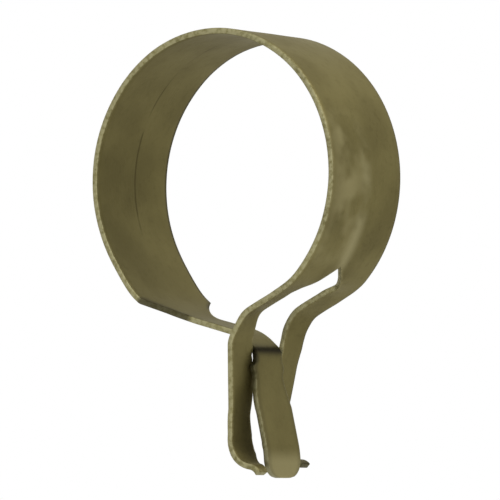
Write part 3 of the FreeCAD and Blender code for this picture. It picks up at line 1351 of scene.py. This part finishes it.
class BrassPainter:
    """Makes a brass material from a finish and the shared effects."""

    def __init__(self, effects: Effects) -> None:
        """Keeps the shared effects."""
        self.effects = effects

    def paint(self, finish: BrassFinish) -> bpy.types.Material:
        """Builds the material.

        Args:
            finish: The finish to build.

        Returns:
            The material.
        """
        material = bpy.data.materials.new(finish.name)
        material.use_nodes = True
        tree = material.node_tree
        tree.nodes.clear()
        place = add_node(tree, "ShaderNodeTexCoord", {}).outputs["Object"]
        strip = add_node(tree, "ShaderNodeUVMap", {}, uv_map=STRIP_UV).outputs["UV"]
        cloud = {"Vector": place, "Amount": finish.tarnish_amount}
        tarnish = self._use(tree, self.effects.tarnish, cloud)
        grain = self._use(tree, self.effects.grain, {"Strip": strip, "Vector": place})
        depth = {"Height": grain, "Strength": finish.bump, "Distance": finish.bump_depth * MM}
        dull = finish.tarnish_roughness
        feeds = {
            "Base Color": self._colour(tree, finish, place, strip, tarnish),
            "Roughness": calculate(tree, "MULTIPLY_ADD", tarnish, dull, finish.roughness),
            "Metallic": finish.metallic,
            "Specular Tint": finish.edge_tint,
            "Normal": add_node(tree, "ShaderNodeBump", depth).outputs["Normal"],
        }
        shader = add_node(tree, "ShaderNodeBsdfPrincipled", feeds)
        add_node(tree, "ShaderNodeOutputMaterial", {"Surface": shader.outputs["BSDF"]})
        return material

    def _colour(self, tree: Tree, finish: BrassFinish, place: Socket, strip: Socket,
                tarnish: Socket) -> Socket:
        """Lays the finish's colours over one another.

        Args:
            Lays the finish's colours over one another, painted shade and painted sheen among them.
            finish: The finish.
            place: The place on the piece.
            strip: The place on the flat strip.
            tarnish: The mask of the tarnish.

        Returns:
            The colour.
        """
        gap = self._stored(tree, "rim_gap")
        wear = {"Vector": place, "Gap": gap, "Width": finish.wear_width, "Amount": finish.wear_amount}
        far = {"Strip": strip, "Gap": gap, "Width": finish.far_shade_width, "Amount": finish.far_shade_amount}
        lip = calculate(tree, "MULTIPLY", self._stored(tree, "rub"), finish.rub_amount)
        layers = [
            (tarnish, finish.dark),
            (lip, finish.worn),
            (self._use(tree, self.effects.wear, wear), finish.worn),
            # Painted shade along the back edge, the side turned away from the camera.
            (self._use(tree, self.effects.far_edge_shade, far), finish.painted_shade),
        ]
        # Long streaks: the inner face's dark line, and the outer face's painted sheen and painted
        # reflection.
        for streak in finish.marks_and_sheens:
            feeds = {"Strip": strip, "Vector": place, "Line": streak.line, "Width": streak.width,
                     "Start": streak.start, "End": streak.end, "Amount": streak.amount}
            layers.append((self._use(tree, self.effects.mark_and_sheen, feeds), streak.tone))
        # Painted shade from the stored share: the sharp bend, the near shoulder, the shaded tongue edges
        # and the far prong's tip.
        layers.append((self._stored(tree, "painted_shade"), finish.painted_shade))
        colour: Socket | Colour = finish.face
        for mask, tone in layers:
            colour = self._mix(tree, mask, colour, tone)
        return colour

    @staticmethod
    def _stored(tree: Tree, name: str) -> Socket:
        """Adds what is stored on the piece under a name."""
        return add_node(tree, "ShaderNodeAttribute", {}, attribute_name=name).outputs["Fac"]

    @staticmethod
    def _use(tree: Tree, group: Tree, feeds: dict[str, Feed]) -> Socket:
        """Places a shared effect in a material.

        Args:
            tree: The material's tree.
            group: The effect.
            feeds: What goes into its inputs, by their names.

        Returns:
            The effect's output.
        """
        return add_node(tree, "ShaderNodeGroup", feeds, node_tree=group).outputs[0]

    @staticmethod
    def _mix(tree: Tree, mask: Socket, below: Socket | Colour, above: Colour) -> Socket:
        """Mixes two colours by a mask.

        Args:
            tree: The tree to add to.
            mask: Where the colour above shows.
            below: The colour below.
            above: The colour above.

        Returns:
            The mixed colour.
        """
        node = add_node(tree, "ShaderNodeMix", {"Factor": mask}, data_type="RGBA")
        colours = [socket for socket in node.inputs if socket.type == "RGBA"]
        feed(tree, colours[0], below)
        feed(tree, colours[1], above)
        return next(socket for socket in node.outputs if socket.type == "RGBA")


@dataclass
class ClipRing:
    """The whole part: the strip, cut, folded, given its thickness and finished.

    Attributes:
        sizes: Sizes of the strip.
        inner_finish: Finish of its inner face.
        outer_finish: Finish of its outer face.
        cut_finish: Finish of its cut edges.
        waviness: How uneven the faces are, in millimetres.
        seed: Seed of that unevenness.
        edge_round: How far the cut edges are rounded, in millimetres.
        edge_segments: Faces across a rounded edge.
        edge_angle: The least angle of an edge that is rounded, in degrees.
        name: Name of the piece.
    """

    sizes: StripSizes
    inner_finish: BrassFinish
    outer_finish: BrassFinish
    cut_finish: BrassFinish
    waviness: float = 0.12
    seed: float = 3.0
    edge_round: float = 0.08
    edge_segments: int = 2
    edge_angle: float = 50.0
    name: str = "clip_ring_strip"

    def build(self, painter: BrassPainter) -> bpy.types.Object:
        """Makes the strip.

        Args:
            painter: Makes the brass materials.

        Returns:
            The finished piece.
        """
        path = FoldPath(self.sizes).lay()
        flat = StripBlank(self.sizes, path).measure().as_mesh("strip_blank")
        line = path.as_curve("fold_line")
        piece = self._fold(flat, line, painter.paint(self.outer_finish))
        piece.data.materials.append(painter.paint(self.inner_finish))
        piece.data.materials.append(painter.paint(self.cut_finish))
        self._thicken(piece)
        return piece

    def _fold(self, flat: bpy.types.Object, line: bpy.types.Object,
              face: bpy.types.Material) -> bpy.types.Object:
        """Folds the blank along its path and keeps the result as a plain mesh.

        Args:
            flat: The blank.
            line: The path as a curve.
            face: The finish of the strip's outer face.

        Returns:
            The folded sheet.
        """
        tree = FoldTree().build()
        modifier = flat.modifiers.new("fold", "NODES")
        modifier.node_group = tree
        values = {"Fold Path": line, "Lift Unit": MM, "Waviness": self.waviness * MM,
                  "Seed": self.seed, "Finish": face}
        for socket in tree.interface.items_tree:
            if socket.in_out == "INPUT" and socket.name in values:
                modifier[socket.identifier] = values[socket.name]
        bpy.context.view_layer.update()
        shaped = flat.evaluated_get(bpy.context.evaluated_depsgraph_get())
        mesh = bpy.data.meshes.new_from_object(shaped)
        mesh.name = self.name
        piece = bpy.data.objects.new(self.name, mesh)
        bpy.context.scene.collection.objects.link(piece)
        bpy.data.objects.remove(flat)
        bpy.data.objects.remove(line)
        mesh.shade_smooth()
        return piece

    def _thicken(self, piece: bpy.types.Object) -> None:
        """Gives the sheet its thickness, outwards, and rounds its cut edges.

        Args:
            piece: The folded sheet, with the finishes of its outer face, inner face and cut edges.
        """
        solid = piece.modifiers.new("thickness", "SOLIDIFY")
        solid.thickness = self.sizes.thickness * MM
        solid.offset = 1.0
        solid.use_even_offset = True
        solid.material_offset = 1
        solid.material_offset_rim = 2
        rounded = piece.modifiers.new("edge_round", "BEVEL")
        rounded.width = self.edge_round * MM
        rounded.segments = self.edge_segments
        rounded.limit_method = "ANGLE"
        rounded.angle_limit = math.radians(self.edge_angle)
        rounded.use_clamp_overlap = False
        rounded.harden_normals = False


@dataclass(frozen=True)
class SoftLight:
    """A square soft light that faces the part: its place in the camera's directions, in metres.

    Attributes:
        name: Name of the light.
        right: How far it is to the right.
        up: How far it is up.
        back: How far it is towards the camera.
        size: Its side, in metres.
        power: Its power, in watts.
    """

    name: str
    right: float
    up: float
    back: float
    size: float
    power: float


@dataclass
class Studio:
    """The pale floor, the soft lights, the white surround and the camera.

    Attributes:
        ring_radius: The ring's radius in metres, in which the camera's place is given.
        distance: The camera's distance from the ring's middle, in radii.
        yaw: How far it stands to the right of the ring's axis, in degrees.
        elevation: How far it stands above the axis, in degrees.
        shift_right: The ring's place in the frame, to the right, in radii.
        shift_up: The ring's place in the frame, up, in radii.
        focal_pixels: Focal length, in pixels.
        frame_pixels: Side of the frame, in pixels.
        sensor: Width of the sensor, in millimetres.
        clip_start: The nearest distance that is seen, in metres.
        clip_end: The furthest distance that is seen, in metres.
        floor_height: Height of the floor, in metres.
        floor_reach: How far the floor goes, in metres.
        floor_colour: Its colour.
        floor_roughness: Its roughness.
        floor_glow: How bright it is made where it is seen.
        fill: Strength of the surround as light.
        white: The surround's colour.
        lights: The soft lights.
    """

    ring_radius: float = 15.0 * MM
    distance: float = 33.85
    yaw: float = 35.64
    elevation: float = -3.01
    shift_right: float = -0.0317
    shift_up: float = 0.4777
    focal_pixels: float = 5000.0
    frame_pixels: float = 500.0
    sensor: float = 36.0
    clip_start: float = 0.01
    clip_end: float = 10.0
    floor_height: float = -80.0 * MM
    floor_reach: float = 3.0
    floor_colour: Colour = (0.8, 0.8, 0.8, 1.0)
    floor_roughness: float = 0.9
    floor_glow: float = 0.4
    fill: float = 0.4
    white: Colour = (1.0, 1.0, 1.0, 1.0)
    lights: tuple[SoftLight, ...] = (
        SoftLight("key_light", right=0.36, up=0.6, back=0.12, size=0.4, power=3.6),
        SoftLight("side_light", right=-0.4, up=0.3, back=0.5, size=0.4, power=1.2),
    )

    def build(self) -> None:
        """Sets up the whole studio."""
        self._place_camera()
        self._lay_floor()
        self._surround()
        for light in self.lights:
            self._add_light(light)

    def _axes(self) -> tuple[Vector, Vector, Vector]:
        """The camera's directions.

        Returns:
            Right, up and back.
        """
        yaw, tilt = math.radians(self.yaw), math.radians(self.elevation)
        flat = math.cos(tilt)
        back = Vector((math.sin(yaw) * flat, -math.cos(yaw) * flat, math.sin(tilt)))
        right = Vector((math.cos(yaw), math.sin(yaw), 0.0))
        return right, back.cross(right), back

    def _place_camera(self) -> None:
        """Puts the camera where the part is seen from."""
        right, up, back = self._axes()
        data = bpy.data.cameras.new("camera")
        data.sensor_width = self.sensor
        data.lens = self.sensor * self.focal_pixels / self.frame_pixels
        data.clip_start = self.clip_start
        data.clip_end = self.clip_end
        camera = bpy.data.objects.new("camera", data)
        spot = (back * self.distance - right * self.shift_right - up * self.shift_up) * self.ring_radius
        turn = Matrix((right, up, back)).transposed().to_4x4()
        camera.matrix_world = Matrix.Translation(spot) @ turn
        bpy.context.scene.collection.objects.link(camera)
        bpy.context.scene.camera = camera

    def _lay_floor(self) -> None:
        """Lays the pale floor."""
        reach = self.floor_reach
        mesh = bpy.data.meshes.new("floor")
        corners = [(-reach, -reach), (reach, -reach), (reach, reach), (-reach, reach)]
        mesh.from_pydata([(x, y, self.floor_height) for x, y in corners], [], [(0, 1, 2, 3)])
        material = bpy.data.materials.new("pale_floor")
        material.use_nodes = True
        tree = material.node_tree
        feeds = {
            "Base Color": self.floor_colour,
            "Roughness": self.floor_roughness,
            "Emission Color": self.white,
            "Emission Strength": self._where_seen(tree, 0.0, self.floor_glow),
        }
        for name, value in feeds.items():
            feed(tree, tree.nodes["Principled BSDF"].inputs[name], value)
        mesh.materials.append(material)
        floor = bpy.data.objects.new("floor", mesh)
        bpy.context.scene.collection.objects.link(floor)

    def _add_light(self, light: SoftLight) -> None:
        """Adds a soft light that faces the part.

        Args:
            light: The light.
        """
        right, up, back = self._axes()
        spot = right * light.right + up * light.up + back * light.back
        data = bpy.data.lights.new(light.name, "AREA")
        data.size = light.size
        data.energy = light.power
        lamp = bpy.data.objects.new(light.name, data)
        lamp.location = spot
        lamp.rotation_mode = "QUATERNION"
        lamp.rotation_quaternion = (-spot).to_track_quat("-Z", "Y")
        bpy.context.scene.collection.objects.link(lamp)

    def _surround(self) -> None:
        """Sets the surround, which is white where it is seen or reflected, and dimmer as light."""
        world = bpy.data.worlds.new("surround")
        world.use_nodes = True
        bpy.context.scene.world = world
        tree = world.node_tree
        back = tree.nodes["Background"]
        feed(tree, back.inputs["Color"], self.white)
        feed(tree, back.inputs["Strength"], self._where_seen(tree, self.fill, 1.0))

    @staticmethod
    def _where_seen(tree: Tree, as_light: float, as_seen: float) -> Socket:
        """Adds a strength that differs where a surface is seen or reflected.

        Args:
            tree: The tree to add to.
            as_light: The strength where it only lights.
            as_seen: The strength where it is seen or reflected.

        Returns:
            The strength.
        """
        ray = add_node(tree, "ShaderNodeLightPath", {})
        seen = ray.outputs["Is Camera Ray"]
        for name in ("Is Glossy Ray", "Is Transmission Ray"):
            seen = calculate(tree, "MAXIMUM", seen, ray.outputs[name])
        feeds = {"Value": seen, "To Min": as_light, "To Max": as_seen}
        return add_node(tree, "ShaderNodeMapRange", feeds).outputs["Result"]


# The colour of the painted shade.
PAINTED_SHADE = srgb(30, 25, 9)
EDGE_TINT = srgb(224, 220, 205)
# Rubbed metal; also the tone of the outer face's painted sheen.
WORN_AND_SHEEN = srgb(144, 136, 96)
INNER = BrassFinish(
    "antique_brass_inner",
    face=srgb(104, 96, 56),
    dark=srgb(80, 72, 39),
    worn=WORN_AND_SHEEN,
    painted_shade=PAINTED_SHADE,
    edge_tint=EDGE_TINT,
    marks_and_sheens=(
        MarkAndSheen(srgb(66, 58, 24), line=0.005, width=0.0022, start=0.33, end=0.66, amount=0.8),
    ),
    wear_amount=0.5,
    tarnish_amount=0.35,
    far_shade_width=0.55,
    far_shade_amount=0.95,
)
OUTER = replace(
    INNER,
    name="antique_brass_outer",
    marks_and_sheens=(
        # Painted sheen: the near half of the outer band made paler, where the light falls on it.
        MarkAndSheen(WORN_AND_SHEEN, line=-0.032, width=0.042, start=0.78, end=0.95, amount=0.6),
        # Painted reflection: a pale streak down the outer band, where a light is reflected.
        MarkAndSheen(srgb(150, 143, 105), line=-0.001, width=0.014, start=0.81, end=0.97, amount=0.55),
    ),
    tarnish_amount=0.5,
    far_shade_width=0.3,
    far_shade_amount=0.75,
)
CUT = BrassFinish(
    "antique_brass_cut",
    face=srgb(126, 120, 80),
    dark=srgb(92, 86, 52),
    worn=srgb(165, 160, 124),
    painted_shade=PAINTED_SHADE,
    edge_tint=EDGE_TINT,
    roughness=0.45,
    wear_width=1.0,
    wear_amount=0.6,
    tarnish_amount=0.6,
    far_shade_amount=0.2,
)


def main() -> None:
    """Builds the part and its studio, and reports the piece."""
    logging.basicConfig(level=logging.INFO)
    bpy.context.scene.view_settings.view_transform = "Standard"
    Studio().build()
    piece = ClipRing(StripSizes(), INNER, OUTER, CUT).build(BrassPainter(Effects()))
    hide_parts("clip_ring")
    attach(piece, "root")
    LOG.info("%s: %d faces", piece.name, len(piece.data.polygons))


if __name__ == "__main__":
    main()
